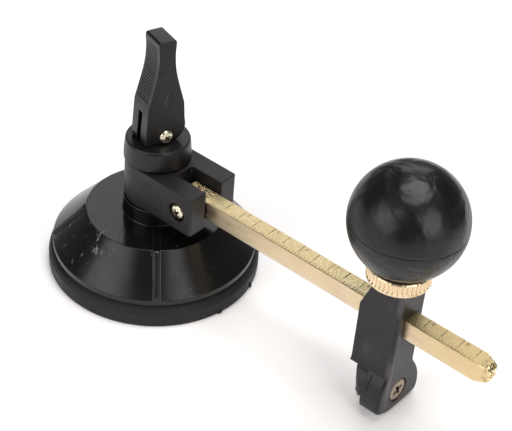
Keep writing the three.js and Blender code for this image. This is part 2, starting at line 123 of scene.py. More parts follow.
def flowing(points, steps=5):
    """A closed outline that flows through its points; a point given twice makes a corner."""
    out = []
    count = len(points)
    for i in range(count):
        p0, p1, p2, p3 = (Vector(points[(i + k) % count]) for k in (-1, 0, 1, 2))
        if (p2 - p1).length < 1e-6:
            continue
        if (p1 - p0).length < 1e-6:
            p0 = p1 * 2 - p2
        if (p3 - p2).length < 1e-6:
            p3 = p2 * 2 - p1
        for k in range(steps):
            t = k / steps
            p = p1 * 2 + (p2 - p0) * t
            p += (p0 * 2 - p1 * 5 + p2 * 4 - p3) * t ** 2
            p += (p1 * 3 - p0 - p2 * 3 + p3) * t ** 3
            out.append((p.x / 2, p.y / 2))
    return out


def inset(outline, depth):
    """The outline moved inwards, each point along its own normal."""
    count = len(outline)
    area = sum(a[0] * b[1] - b[0] * a[1] for a, b in zip(outline, outline[1:] + outline[:1]))
    out = []
    for i, (a, b) in enumerate(outline):
        ahead = Vector(outline[(i + 1) % count]) - Vector(outline[i - 1])
        normal = Vector((-ahead.y, ahead.x)).normalized() * math.copysign(depth, area)
        out.append((a + normal.x, b + normal.y))
    return out


AXES = {
    "Z": Matrix.Identity(4),
    "X": Matrix(((0, 0, 1, 0), (1, 0, 0, 0), (0, 1, 0, 0), (0, 0, 0, 1))),
    "-Y": Matrix(((1, 0, 0, 0), (0, 0, -1, 0), (0, 1, 0, 0), (0, 0, 0, 1))),
    "Y": Matrix(((-1, 0, 0, 0), (0, 0, 1, 0), (0, 1, 0, 0), (0, 0, 0, 1))),
}


def lathe(name, profile, segments=96, axis="Z", move=(0, 0, 0), wave=None):
    """A solid turned about an axis. profile is (radius, height[, corner radius]), a loop or ending
    on the axis. wave(angle, radius, height) may push a point in or out, as a knurl does."""
    points = rounded(profile)
    bm = bmesh.new()
    rings = []
    for radius, height in points:
        if radius < 1e-5:
            rings.append([bm.verts.new((0, 0, height))])
            continue
        ring = []
        for k in range(segments):
            a = 2 * math.pi * k / segments
            r = radius + (wave(a, radius, height) if wave else 0.0)
            ring.append(bm.verts.new((r * math.cos(a), r * math.sin(a), height)))
        rings.append(ring)
    for lower, upper in zip(rings, rings[1:] + rings[:1]):
        for k in range(segments):
            n = (k + 1) % segments
            corners = [lower[k % len(lower)], lower[n % len(lower)],
                       upper[n % len(upper)], upper[k % len(upper)]]
            face = list(dict.fromkeys(corners))
            if len(face) > 2:
                bm.faces.new(face)
    return new_object(name, bm, AXES[axis], move)


def slab(name, outline, low, high, axis="Z", move=(0, 0, 0)):
    """An outline pushed along an axis between two heights."""
    bm = bmesh.new()
    floor = [bm.verts.new((a, b, low)) for a, b in outline]
    roof = [bm.verts.new((a, b, high)) for a, b in outline]
    bm.faces.new(floor[::-1])
    bm.faces.new(roof)
    count = len(outline)
    for k in range(count):
        n = (k + 1) % count
        bm.faces.new([floor[k], floor[n], roof[n], roof[k]])
    return new_object(name, bm, AXES[axis], move)


def boxes(name, spans):
    """Several plain boxes in one mesh, for cutting. Each span is ((x0, x1), (y0, y1), (z0, z1))."""
    bm = bmesh.new()
    for (x0, x1), (y0, y1), (z0, z1) in spans:
        v = [bm.verts.new((x, y, z)) for x in (x0, x1) for y in (y0, y1) for z in (z0, z1)]
        for f in ((0, 1, 3, 2), (4, 6, 7, 5), (0, 4, 5, 1), (2, 3, 7, 6), (0, 2, 6, 4), (1, 5, 7, 3)):
            bm.faces.new([v[i] for i in f])
    return new_object(name, bm)


def loft(name, sections, move=(0, 0, 0), turn=None):
    """A solid through rings of equal count, given as lists of (x, y, z)."""
    bm = bmesh.new()
    rings = [[bm.verts.new(p) for p in ring] for ring in sections]
    bm.faces.new(rings[0][::-1])
    bm.faces.new(rings[-1])
    count = len(rings[0])
    for lower, upper in zip(rings, rings[1:]):
        for k in range(count):
            n = (k + 1) % count
            bm.faces.new([lower[k], lower[n], upper[n], upper[k]])
    return new_object(name, bm, turn, move)


def pillow(name, outline, low, high, radius, axis="Z", steps=6):
    """A slab whose upper rim is rounded over."""
    sections = [[(a, b, low) for a, b in outline]]
    for k in range(steps + 1):
        t = math.pi / 2 * k / steps
        height = high - radius + radius * math.sin(t)
        sections.append([(a, b, height) for a, b in inset(outline, radius * (1 - math.cos(t)))])
    return loft(name, sections, (0, 0, 0), AXES[axis])


def polygon(radius, count):
    """A regular outline, such as a hexagon."""
    turn = [2 * math.pi * k / count for k in range(count)]
    return [(radius * math.cos(t), radius * math.sin(t)) for t in turn]


def bake(obj):
    """Turns the modifiers into the mesh itself."""
    bpy.context.view_layer.update()
    graph = bpy.context.evaluated_depsgraph_get()
    mesh = bpy.data.meshes.new_from_object(obj.evaluated_get(graph))
    old = obj.data
    obj.modifiers.clear()
    obj.data = mesh
    bpy.data.meshes.remove(old)
    return obj


def carve(obj, *tools, mode="DIFFERENCE", marked=False):
    """Cuts or joins the tools. A marked cut leaves its faces in the second material slot."""
    for tool in tools:
        if marked:
            for mesh in (obj.data, tool.data):
                while len(mesh.materials) < 2:
                    mesh.materials.append(None)
            tool.data.polygons.foreach_set("material_index", [1] * len(tool.data.polygons))
        cut = obj.modifiers.new("cut", "BOOLEAN")
        cut.operation = mode
        cut.solver = "EXACT"
        cut.object = tool
        bake(obj)
        bpy.data.objects.remove(tool)
    return tidy(obj)


def tidy(obj, gap=0.004):
    """Joins corners that a cut left closer than the gap, in millimetres."""
    bm = bmesh.new()
    bm.from_mesh(obj.data)
    bmesh.ops.remove_doubles(bm, verts=bm.verts, dist=gap * MM)
    bmesh.ops.dissolve_degenerate(bm, edges=bm.edges, dist=gap * MM)
    bm.to_mesh(obj.data)
    bm.free()
    return obj


def drill(obj, radius, low, high, segments, axis="Z", move=(0, 0, 0)):
    """Cuts a plain round hole between two heights along the axis."""
    carve(obj, lathe("drill", [(0, low), (radius, low), (radius, high), (0, high)], segments, axis, move))


def ease(obj, width, steps=3, angle=28):
    """Rounds every edge sharper than the angle."""
    edge = obj.modifiers.new("edge", "BEVEL")
    edge.width = width * MM
    edge.segments = steps
    edge.limit_method = "ANGLE"
    edge.angle_limit = math.radians(angle)
    edge.use_clamp_overlap = True
    edge.miter_outer = "MITER_ARC"
    return bake(obj)


def turned_matrix(angle, move=(0, 0, 0)):
    """A turn about the swivel axis and then a move in millimetres."""
    return Matrix.Translation(Vector(move) * MM) @ Matrix.Rotation(angle, 4, "Z")


def cross_cut(obj, radius, depth, top, axis="Z", move=(0, 0, 0), spin=0.4):
    """Sinks a tapered Phillips cross into a screw head whose face is at the top height. The cross's faces go
    to the second slot, which dress fills with the painted recess shade.
    """
    arm, reach = radius * 0.17, radius * 0.68
    rings = []
    # Each ring is a height, and what is left there of the arms' half width and of their reach
    shrink = [(top - depth, 0.55, 0.30), (top - depth * 0.45, 0.85, 0.78),
              (top, 1.0, 1.0), (top + 1.0, 1.0, 1.0)]
    for height, wide, far in shrink:
        ring = []
        for k in range(4):
            turn = Matrix.Rotation(k * math.pi / 2 + spin, 3, "Z")
            for x, y in ((arm * wide, -arm * wide), (reach * far, -arm * wide), (reach * far, arm * wide)):
                point = turn @ Vector((x, y, 0))
                ring.append((point.x, point.y, height))
        rings.append(ring)
    return carve(obj, loft("cross", rings, move, AXES[axis]), marked=True)


def dress(obj, body, nodes, material, angle=32, inside=None):
    """Shades a piece, gives it its material, and sets it in the frame for its CAD nodes.
    The faces of marked cuts take the inside material, or the dark painted recess shade when none is given."""
    slots = obj.data.materials
    if len(slots) == 2:
        slots[0], slots[1] = material, inside or RECESS_SHADE
    else:
        slots.clear()
        slots.append(material)
    obj.data.shade_smooth()
    obj.data.set_sharp_from_angle(angle=math.radians(angle))
    normals = obj.modifiers.new("normals", "WEIGHTED_NORMAL")
    normals.keep_sharp = True
    normals.weight = 60
    bake(obj)
    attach(obj, body)
    if nodes:
        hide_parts(*nodes)
    return obj


# ------------------------ materials
class Nodes:
    """Short names for building a shader out of procedural nodes."""

    def __init__(self, name):
        self.material = bpy.data.materials.new(name)
        self.material.use_nodes = True
        self.tree = self.material.node_tree
        self.shader = self.tree.nodes["Principled BSDF"]
        self.place = self.add("ShaderNodeTexCoord").outputs["Object"]

    def add(self, kind, **values):
        node = self.tree.nodes.new(kind)
        for key, value in values.items():
            setattr(node, key, value)
        return node

    def link(self, source, target):
        self.tree.links.new(source, target)

    def feed(self, target, value):
        """Links a socket, or sets a plain number or colour."""
        if isinstance(value, bpy.types.NodeSocket):
            self.link(value, target)
        else:
            target.default_value = value

    def stretched(self, scale=(1, 1, 1), move=(0, 0, 0), turn=(0, 0, 0)):
        """The surface point, scaled, moved and turned, so that a noise runs long one way."""
        node = self.add("ShaderNodeMapping")
        self.link(self.place, node.inputs["Vector"])
        node.inputs["Scale"].default_value = scale
        node.inputs["Location"].default_value = move
        node.inputs["Rotation"].default_value = turn
        return node.outputs[0]

    def noise(self, scale, detail=3.0, rough=0.5, vector=None, warp=0.0):
        node = self.add("ShaderNodeTexNoise")
        self.link(vector or self.place, node.inputs["Vector"])
        node.inputs["Scale"].default_value = scale
        node.inputs["Detail"].default_value = detail
        node.inputs["Roughness"].default_value = rough
        node.inputs["Distortion"].default_value = warp
        return node.outputs["Fac"]

    def math(self, operation, a, b=0.0, c=0.0, clamp=False):
        node = self.add("ShaderNodeMath", operation=operation, use_clamp=clamp)
        for socket, value in zip(node.inputs, (a, b, c)):
            self.feed(socket, value)
        return node.outputs[0]

    def times(self, a, b):
        return self.math("MULTIPLY", a, b)

    def span(self, value, low, high, out_low=0.0, out_high=1.0):
        """Eases from one value to another as the input goes from low to high."""
        node = self.add("ShaderNodeMapRange", interpolation_type="SMOOTHSTEP")
        for socket, v in zip(node.inputs, (value, low, high, out_low, out_high)):
            self.feed(socket, v)
        return node.outputs[0]

    def mix(self, factor, a, b):
        node = self.add("ShaderNodeMix", data_type="RGBA")
        self.feed(node.inputs[0], factor)
        for socket, value in ((node.inputs[6], a), (node.inputs[7], b)):
            self.feed(socket, value if isinstance(value, bpy.types.NodeSocket) else (*value, 1.0))
        return node.outputs[2]

    def axis(self, index):
        """One coordinate of the surface point: 0 is x, 1 is y and 2 is z."""
        node = self.add("ShaderNodeSeparateXYZ")
        self.link(self.place, node.inputs[0])
        return node.outputs[index]

    def bump(self, height, distance, strength=1.0, normal=None):
        node = self.add("ShaderNodeBump")
        self.link(height, node.inputs["Height"])
        node.inputs["Distance"].default_value = distance
        node.inputs["Strength"].default_value = strength
        if normal is not None:
            self.link(normal, node.inputs["Normal"])
        return node.outputs[0]

    def facing(self, x, y, z):
        """How far the surface, in the object's own frame, faces a direction: 1 straight at it, -1 away."""
        node = self.add("ShaderNodeVectorMath", operation="DOT_PRODUCT")
        self.link(self.add("ShaderNodeTexCoord").outputs["Normal"], node.inputs[0])
        node.inputs[1].default_value = (x, y, z)
        return node.outputs["Value"]

    def every(self, value, first, pitch, width):
        """1 on marks of a width, repeated along a coordinate at a pitch, all in millimetres."""
        off = self.math("SUBTRACT", value, first * MM)
        near = self.math("PINGPONG", off, pitch / 2 * MM)
        return self.span(near, (width / 2 + 0.05) * MM, (width / 2 - 0.03) * MM)

    def band(self, value, low, high, soft=0.06):
        """1 between two places on a coordinate, in millimetres."""
        rise = self.span(value, (low - soft) * MM, (low + soft) * MM)
        return self.times(rise, self.span(value, (high + soft) * MM, (high - soft) * MM))

    def hairlines(self, scale, turn, keep, width=0.004):
        """Sparse fine scratches: level lines of a long drawn noise, kept only in patches."""
        drawn = self.noise(scale, 1, 0.4, self.stretched((1, 0.06, 1), turn=turn))
        line = self.span(self.math("ABSOLUTE", self.math("SUBTRACT", drawn, 0.5)), width, width * 0.3)
        spread = self.noise(scale * 0.7, 2, 0.5, self.stretched(move=(0.3, 0.1, 0.2)))
        patch = self.span(spread, keep, keep + 0.06)
        return self.times(line, patch)

    def ball(self, centre, radius, soft):
        """1 inside a ball about a point in millimetres, fading to 0 over the soft band."""
        node = self.add("ShaderNodeVectorMath", operation="DISTANCE")
        self.link(self.place, node.inputs[0])
        node.inputs[1].default_value = Vector(centre) * MM
        return self.span(node.outputs["Value"], (radius + soft) * MM, radius * MM)

    def done(self, color, roughness, normal=None, **plain):
        """Wires up the shader. A plain setting is a socket's name, with _ for a space."""
        self.link(color, self.shader.inputs["Base Color"])
        self.link(roughness, self.shader.inputs["Roughness"])
        if normal is not None:
            self.link(normal, self.shader.inputs["Normal"])
        for key, value in plain.items():
            self.shader.inputs[key.replace("_", " ")].default_value = value
        return self.material


def rubber():
    """Dull black rubber, clouded and dusty."""
    n = Nodes("rubber")
    cloud = n.noise(70, 4)
    grain = n.noise(2600, 2)
    dust = n.span(n.noise(420, 5, 0.7), 0.60, 0.74)
    color = n.mix(cloud, (0.0050, 0.0050, 0.0056), (0.0135, 0.0132, 0.0142))
    color = n.mix(n.times(dust, 0.30), color, (0.060, 0.058, 0.056))
    rough = n.span(cloud, 0.3, 0.7, 0.52, 0.70)
    normal = n.bump(grain, 0.00009, 0.6, n.bump(n.noise(300, 3), 0.00014, 0.4))
    return n.done(color, rough, normal, Specular_IOR_Level=0.32)


def gloss_base():
    """Shiny moulded plastic with scuffed patches on the near left, and painted highlight lines along the
    ribs.
    """
    n = Nodes("gloss_black")
    slow = n.noise(38, 3, 0.5, warp=0.6)
    streak = n.noise(260, 4, 0.6, n.stretched((1, 1, 0.12)))
    fine = n.noise(1500, 3, 0.6)
    left = n.math("MAXIMUM", n.ball((-17.5, -20, 13.5), 5, 5), n.ball((-4, -22, 14.5), 4, 5))
    grazed = n.noise(330, 6, 0.72, n.stretched((1, 0.60, 0.42), turn=(0.4, 0.3, 0.5)), warp=0.3)
    scuff = n.times(n.span(grazed, 0.585, 0.645), left)
    nicked = n.noise(640, 5, 0.7, n.stretched((1, 0.5, 0.5), turn=(0.2, 0.5, 1.0)), warp=0.2)
    edge = n.times(n.ball((1, -20.5, 17.6), 4, 3), n.span(nicked, 0.58, 0.64))
    hair = n.hairlines(230, (0.3, 0.5, 0.9), 0.56)
    marks_and_highlights = n.math("MAXIMUM", n.math("MAXIMUM", scuff, edge), n.times(hair, 0.22))
    speck = n.span(n.noise(1100, 2, 0.5), 0.735, 0.765)
    marks_and_highlights = n.math("MAXIMUM", marks_and_highlights, n.times(speck, 0.6))
    # Pale lines along the ribs' flanks and tops are painted highlights: the lines of light on the rib edges.
    across = n.math("SUBTRACT", n.math("ABSOLUTE", n.axis(0)), n.math("ABSOLUTE", n.axis(1)))
    across = n.math("ABSOLUTE", n.times(across, 0.7071))
    flank = n.math("MAXIMUM", n.band(across, 0.92, 1.10, 0.08),
                   n.times(n.band(across, 0.28, 0.40, 0.08), 0.5))
    flank = n.times(flank, n.band(n.axis(2), 8.2, 18.35, 0.1))
    marks_and_highlights = n.math("MAXIMUM", marks_and_highlights, n.times(flank, n.span(n.noise(160, 3), 0.30, 0.60, 0.25, 0.75)))
    plate = n.facing(0, 0, 1)
    color = n.mix(slow, (0.0030, 0.0030, 0.0028), (0.0072, 0.0070, 0.0062))
    color = n.mix(n.times(marks_and_highlights, 0.8), color, (0.17, 0.17, 0.165))
    rough = n.span(slow, 0.3, 0.72, 0.17, 0.26)
    rough = n.math("ADD", rough, n.times(n.span(streak, 0.35, 0.75), 0.06))
    rough = n.times(rough, n.span(plate, 0.90, 0.99, 1.0, 0.62))
    rough = n.math("ADD", rough, n.times(marks_and_highlights, 0.30), clamp=True)
    height = n.math("ADD", n.times(fine, 0.25), n.times(marks_and_highlights, -0.6))
    normal = n.bump(height, 0.00003, 0.55, n.bump(n.noise(95, 2), 0.0005, 0.10))
    return n.done(color, rough, normal, Specular_IOR_Level=0.36)


def satin_plastic(name="satin_black", low=0.36, high=0.47, tint=(0.0105, 0.0088, 0.0115), scuffed=(),
                  smudged=(), painted_edge_highlights=(), mark_wear_and_grip_sheen=None):
    """Moulded black plastic. A scuffed entry is a place, a reach, a noise scale and a strength.
    A smudged entry is a place, a reach and a strength. Each painted edge highlight is the x and y of an
    upright edge painted pale, and a strength. The grip entry is the direction of the grip faces and a
    strength: those faces get a painted sheen."""
    n = Nodes(name)
    slow = n.noise(60, 3, 0.5, warp=0.4)
    grain = n.noise(4200, 2, 0.6)
    wipe = n.noise(330, 4, 0.65, n.stretched((0.35, 1, 1.4), turn=(0.2, 0.4, 0.3)))
    hair = n.hairlines(260, (0.8, 0.2, 0.4), 0.53)
    color = n.mix(slow, tuple(c * 0.6 for c in tint), tint)
    color = n.mix(n.times(n.span(wipe, 0.6, 0.75), 0.20), color, tuple(c * 1.9 for c in tint))
    color = n.mix(n.times(hair, 0.16), color, (0.09, 0.088, 0.09))
    rough = n.span(slow, 0.3, 0.7, low, high)
    rough = n.math("ADD", rough, n.times(n.span(wipe, 0.4, 0.75), 0.05), clamp=True)
    relief = n.times(grain, 0.35)
    for place, reach, scale, strength in scuffed:
        whirl = n.noise(scale, 5, 0.66, warp=3.2)
        rub = n.times(n.span(n.math("PINGPONG", whirl, 0.035), 0.022, 0.034),
                      n.ball(place, reach, reach * 0.5))
        rub = n.times(rub, n.span(n.noise(420, 3), 0.38, 0.55))
        color = n.mix(n.times(rub, strength * 0.8), color, tuple(c * 9 for c in tint))
        rough = n.math("SUBTRACT", rough, n.times(rub, 0.12 * strength))
        relief = n.math("ADD", relief, n.times(rub, 5.0 * strength))
    drift = n.noise(240, 3, 0.6, n.stretched((1, 1, 0.18)))
    for place, reach, strength in smudged:
        pale = n.times(n.span(drift, 0.35, 0.75), n.ball(place, reach * 0.2, reach))
        color = n.mix(n.times(pale, strength), color, (0.085, 0.088, 0.105))
    # An upright edge painted pale along its length: a painted highlight.
    for x, y, strength in painted_edge_highlights:
        away = n.math("MAXIMUM", n.math("ABSOLUTE", n.math("SUBTRACT", n.axis(0), x * MM)),
                      n.math("ABSOLUTE", n.math("SUBTRACT", n.axis(1), y * MM)))
        near = n.times(n.span(away, 1.1 * MM, 0.35 * MM), n.span(n.noise(90, 3), 0.40, 0.62))
        color = n.mix(n.times(near, strength), color, (0.115, 0.105, 0.120))
    # The grip faces, facing the given direction either way, are painted paler above 55 mm: a painted sheen.
    if mark_wear_and_grip_sheen is not None:
        grip = n.span(n.math("ABSOLUTE", n.facing(*mark_wear_and_grip_sheen[:3])), 0.80, 0.97)
        grip = n.times(grip, n.span(n.axis(2), 55.0 * MM, 58.0 * MM))
        grip = n.times(grip, n.span(n.noise(260, 4, 0.6, n.stretched((1, 1, 2.5))), 0.30, 0.70, 0.45, 1.0))
        color = n.mix(n.times(grip, mark_wear_and_grip_sheen[3]), color, (0.075, 0.070, 0.071))
    normal = n.bump(relief, 0.00006, 0.6, n.bump(n.noise(120, 2), 0.0004, 0.14))
    return n.done(color, rough, normal, Specular_IOR_Level=0.36)


def knob_plastic():
    """Polished black plastic with a slow wave in its surface and a few fine scratches."""
    n = Nodes("knob_black")
    slow = n.noise(55, 4, 0.55, warp=0.8)
    fine = n.noise(900, 4, 0.6)
    hair = n.hairlines(170, (0.4, 0.9, 0.2), 0.54, 0.003)
    speck = n.span(n.noise(1300, 3, 0.6), 0.70, 0.76)
    color = n.mix(slow, (0.0028, 0.0028, 0.0032), (0.0066, 0.0064, 0.0070))
    color = n.mix(n.times(n.math("MAXIMUM", hair, speck), 0.20), color, (0.12, 0.12, 0.12))
    rough = n.span(slow, 0.3, 0.7, 0.23, 0.36)
    normal = n.bump(fine, 0.00004, 0.45, n.bump(n.noise(105, 2, 0.5, warp=0.9), 0.0012, 0.60))
    return n.done(color, rough, normal, Specular_IOR_Level=0.36)


def bar_brass():
    """Drawn brass with a stippled top, stamped millimetre marks, a milled end and a sawn tip."""
    n = Nodes("bar_brass")
    x, y, z = n.axis(0), n.axis(1), n.axis(2)
    drawn = n.noise(900, 4, 0.6, n.stretched((0.03, 1, 1)))
    blotch = n.noise(150, 4, 0.6, n.stretched((0.5, 1, 1)), warp=0.5)
    pit = n.noise(2300, 3, 0.65)
    stipple = n.span(pit, 0.45, 0.60)
    top = n.span(z, 32.45 * MM, 32.60 * MM)
    side = n.span(n.facing(0, -1, 0), 0.6, 0.9)
    warm = n.mix(blotch, (0.80, 0.64, 0.35), (0.98, 0.86, 0.56))
    color = n.mix(n.times(n.span(blotch, 0.55, 0.75), 0.5), warm, (1.0, 0.93, 0.72))
    rosy = n.times(side, n.span(n.noise(110, 3, 0.6, n.stretched((0.4, 1, 1))), 0.35, 0.65, 0.25, 0.85))
    color = n.mix(rosy, color, (0.70, 0.53, 0.37))
    pale = n.times(side, n.span(z, 29.6 * MM, 27.4 * MM, 0.0, 0.50))
    color = n.mix(pale, color, (0.86, 0.78, 0.61))
    brush = n.noise(1100, 4, 0.7, n.stretched((0.06, 1, 1), move=(0.1, 0, 0)))
    color = n.mix(n.times(n.times(side, n.span(brush, 0.52, 0.68)), 0.45), color, (0.52, 0.40, 0.26))
    # The whole near side darkened: painted shade, toning down how brightly that side is lit.
    color = n.mix(n.times(side, 0.42), color, (0.56, 0.45, 0.31))
    tarnish = n.times(n.math("SUBTRACT", 1.0, stipple), top)
    color = n.mix(n.times(tarnish, 0.36), color, (0.46, 0.33, 0.13))
    mark_wear_and_grip_sheen = n.span(n.noise(500, 3, 0.6), 0.40, 0.56, 0.35, 1.0)
    short = n.times(n.every(x, FIRST_MARK, 1.0, 0.22), n.band(y, -2.2, -1.35))
    short = n.times(short, n.span(x, 30 * MM, 62 * MM, 0.25, 0.75))
    long = n.times(n.every(x, FIRST_LONG, 5.0, 0.22), n.band(y, -0.85, 2.3))
    score = n.times(n.band(y, -2.48, -2.24, 0.05), n.span(mark_wear_and_grip_sheen, 0.3, 0.9, 0.60, 0.90))
    marks = n.times(n.math("MAXIMUM", short, long), n.times(mark_wear_and_grip_sheen, n.band(x, 22.0, 106.6)))
    marks = n.times(n.math("MAXIMUM", marks, score), top)
    color = n.mix(n.times(marks, 0.85), color, (0.085, 0.055, 0.022))
    golden = n.times(n.span(x, 84 * MM, 104 * MM), n.span(blotch, 0.30, 0.70, 0.30, 0.60))
    color = n.mix(n.times(golden, n.math("SUBTRACT", 1.0, marks)), color, (0.80, 0.60, 0.26))
    ends = n.math("MAXIMUM", n.span(x, 21.5 * MM, 19.5 * MM), n.span(x, 109.0 * MM, 110.4 * MM))
    chip = n.noise(620, 4, 0.7, n.stretched((1, 1, 1.8), turn=(0.5, 0.3, 0.8)), warp=1.2)
    color = n.mix(n.times(n.times(ends, n.span(chip, 0.50, 0.38)), 0.8), color, (0.22, 0.13, 0.04))
    rough = n.math("ADD", n.span(drawn, 0.3, 0.7, 0.25, 0.35), n.times(top, 0.09))
    rough = n.math("SUBTRACT", rough, n.times(ends, 0.14))
    rough = n.math("ADD", rough, n.times(marks, 0.25), clamp=True)
    height = n.math("ADD", n.times(drawn, 0.5), n.times(n.times(stipple, top), 1.3))
    height = n.math("ADD", height, n.times(n.times(chip, ends), 5.0))
    normal = n.bump(height, 0.00008, 0.6,
                    n.bump(n.noise(260, 3, 0.5, n.stretched((0.35, 1, 1))), 0.00035, 0.20))
    return n.done(color, rough, normal, Metallic=1.0)


def nut_brass():
    """Turned brass, duller than the bar."""
    n = Nodes("nut_brass")
    swirl = n.noise(260, 4, 0.6)
    fine = n.noise(3000, 3, 0.6)
    color = n.mix(swirl, (0.72, 0.54, 0.33), (0.86, 0.73, 0.51))
    rough = n.span(swirl, 0.3, 0.7, 0.22, 0.34)
    return n.done(color, rough, n.bump(fine, 0.00004, 0.4), Metallic=1.0)


def plated(name, dark=(0.62, 0.58, 0.42), light=(0.92, 0.88, 0.70), low=0.20, high=0.34):
    """Metal between two shades, with dark specks. low and high are its roughness."""
    n = Nodes(name)
    swirl = n.noise(420, 4, 0.6)
    fine = n.noise(3600, 3, 0.6)
    rust = n.span(n.noise(900, 4, 0.6), 0.58, 0.72)
    color = n.mix(n.times(rust, 0.4), n.mix(swirl, dark, light), tuple(c * 0.45 for c in dark))
    rough = n.span(swirl, 0.3, 0.7, low, high)
    return n.done(color, rough, n.bump(fine, 0.00004, 0.5), Metallic=1.0)


def ink():
    """The worn dark filling of the scale's numbers."""
    n = Nodes("scale_ink")
    wear = n.noise(2400, 3)
    color = n.mix(wear, (0.10, 0.07, 0.03), (0.26, 0.19, 0.09))
    return n.done(color, n.span(wear, 0.3, 0.7, 0.45, 0.6), n.bump(wear, 0.00002, 0.4), Metallic=0.8)


def pale_floor():
    """A near white floor that glows a little."""
    n = Nodes("pale_floor")
    soft = n.noise(6, 3)
    color = n.mix(soft, (0.94, 0.94, 0.94), (0.96, 0.96, 0.96))
    rough = n.span(soft, 0.3, 0.7, 0.75, 0.85)
    return n.done(color, rough, Emission_Color=(1, 1, 1, 1), Emission_Strength=0.10)


RUBBER, GLOSS, KNOB = rubber(), gloss_base(), knob_plastic()
# The yoke and head: swirl scuffs, pale smudges, and a painted highlight down the head's front upright edge.
SATIN = satin_plastic(scuffed=[((5.2, -9, 31.6), 2.0, 190, 0.8), ((9.3, -9, 30.0), 1.6, 230, 0.8)],
                      smudged=[((80.3, -5.5, 20.5), 3.4, 0.40), ((83.6, -5.5, 37.0), 2.0, 0.18),
                               ((12, -9, 27.5), 3, 0.15)],
                      painted_edge_highlights=[(86.5, -4.9, 0.55)])
# Dark brown for the faces of marked cuts, such as the screw crosses and the countersink: painted shade in the
# recesses.
RECESS_SHADE = plated("recess_shade", (0.035, 0.024, 0.012), (0.10, 0.07, 0.035), 0.40, 0.60)
FRESH_BRASS = plated("sawn_brass", (0.72, 0.50, 0.20), (1.0, 0.88, 0.58), 0.12, 0.24)
# The lever's grip faces carry a painted sheen.
LEVER_BLACK = satin_plastic("lever_black", 0.28, 0.40, (0.0078, 0.0070, 0.0080),
                            mark_wear_and_grip_sheen=(math.sin(LEVER_TURN), -math.cos(LEVER_TURN), 0, 0.42))
TURRET_BLACK = satin_plastic("turret_black", 0.34, 0.45, (0.0085, 0.0080, 0.0085))
BAR, NUT, SCREW = bar_brass(), nut_brass(), plated("screw_plating")
DULL_SCREW = plated("dull_plating", (0.22, 0.17, 0.12), (0.44, 0.37, 0.28), 0.26, 0.42)
# Near black for the swivel washer: painted shade in the narrow gap under the yoke.
WASHER_PAINTED_SHADE = plated("washer_painted_shade", (0.030, 0.028, 0.026), (0.070, 0.066, 0.060), 0.30, 0.42)
STEEL = plated("wheel_steel", (0.58, 0.58, 0.59), (0.84, 0.84, 0.86), 0.20, 0.34)
INK = ink()

# ------------------------ suction pad
rim = lathe("suction_pad_rim", [
    (PAD_MID_R, 0.0), (30.15, 0.0, 0.35), (PAD_R, 0.9, 0.6), (PAD_R, 4.1, 0.9), (29.6, 5.2, 0.8),
    (28.2, 6.2, 0.5), (24.4, 6.2, 0.5), (23.6, 5.6, 0.4), (PAD_MID_R, 5.4, 0.2),
], 192)
dress(rim, "base", ["suction_pad"], RUBBER)

middle = lathe("pad_middle", [
    (0, 0.0), (4.0, 0.0, 0.3), (4.3, 0.12, 0.1), (4.8, 0.12, 0.1), (5.1, 0.0, 0.3), (13.6, 0.0, 0.3),
    (13.9, 0.12, 0.1), (14.4, 0.12, 0.1), (14.7, 0.0, 0.3), (PAD_MID_R, 0.0), (PAD_MID_R, 1.2),
    (PAD_MID_R, 2.4), (PAD_MID_R, 3.4), (PAD_MID_R, 4.2, 0.3), (16.0, 4.2), (10.6, 4.2, 0.8),
    (9.0, 5.8, 0.8), (9.0, 9.0, 0.5), (3.5, 9.0, 0.3), (3.5, 6.6, 0.1), (6.3, 6.6, 0.1), (6.3, 3.2, 0.1),
    (0, 3.2),
], 96)
middle.data.materials.append(RUBBER)
middle.data.shade_smooth()
middle.data.set_sharp_from_angle(angle=math.radians(35))
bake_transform(middle)
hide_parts("pad_diaphragm")

# Tags of moulding flash on the pad's rim: degrees round it, half the height and half the width
FLASH = [(-138, 0.45, 0.45), (-62, 0.30, 0.80), (-9, 0.45, 0.95), (18, 1.0, 0.36),
         (128, 0.38, 0.5), (205, 0.34, 0.6)]
NIB = [(0, -0.7), (0.8, -0.45, 0.2), (1.0, 0.15, 0.2), (0.55, 0.42, 0.2), (0, 0.5)]
for i, (degrees, tall, wide) in enumerate(FLASH):
    a = math.radians(degrees)
    nib = lathe(f"pad_nib_{i + 1}", NIB, 14, "X")
    nib.data.transform(Matrix.Diagonal((1, wide, tall, 1)))
    nib.data.transform(turned_matrix(a))
    reach = PAD_R if abs(degrees) < 30 else PAD_R - 0.5
    foot = Vector((reach * math.cos(a), reach * math.sin(a), tall + 0.12))
    nib.data.transform(Matrix.Translation(foot * MM))
    nib.data.materials.append(RUBBER)
    nib.data.shade_smooth()
    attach(nib, "base")

# ------------------------ base cone
slope = Vector((CONE_TOP[0] - CONE_FOOT[0], CONE_TOP[1] - CONE_FOOT[1]))
along = slope.normalized()
out = Vector((along.y, -along.x))


def on_slope(t, n):
    """A profile point a distance up the cone's slope and a distance out from it."""
    p = Vector(CONE_FOOT) + along * t + out * n
    return (p.x, p.y)


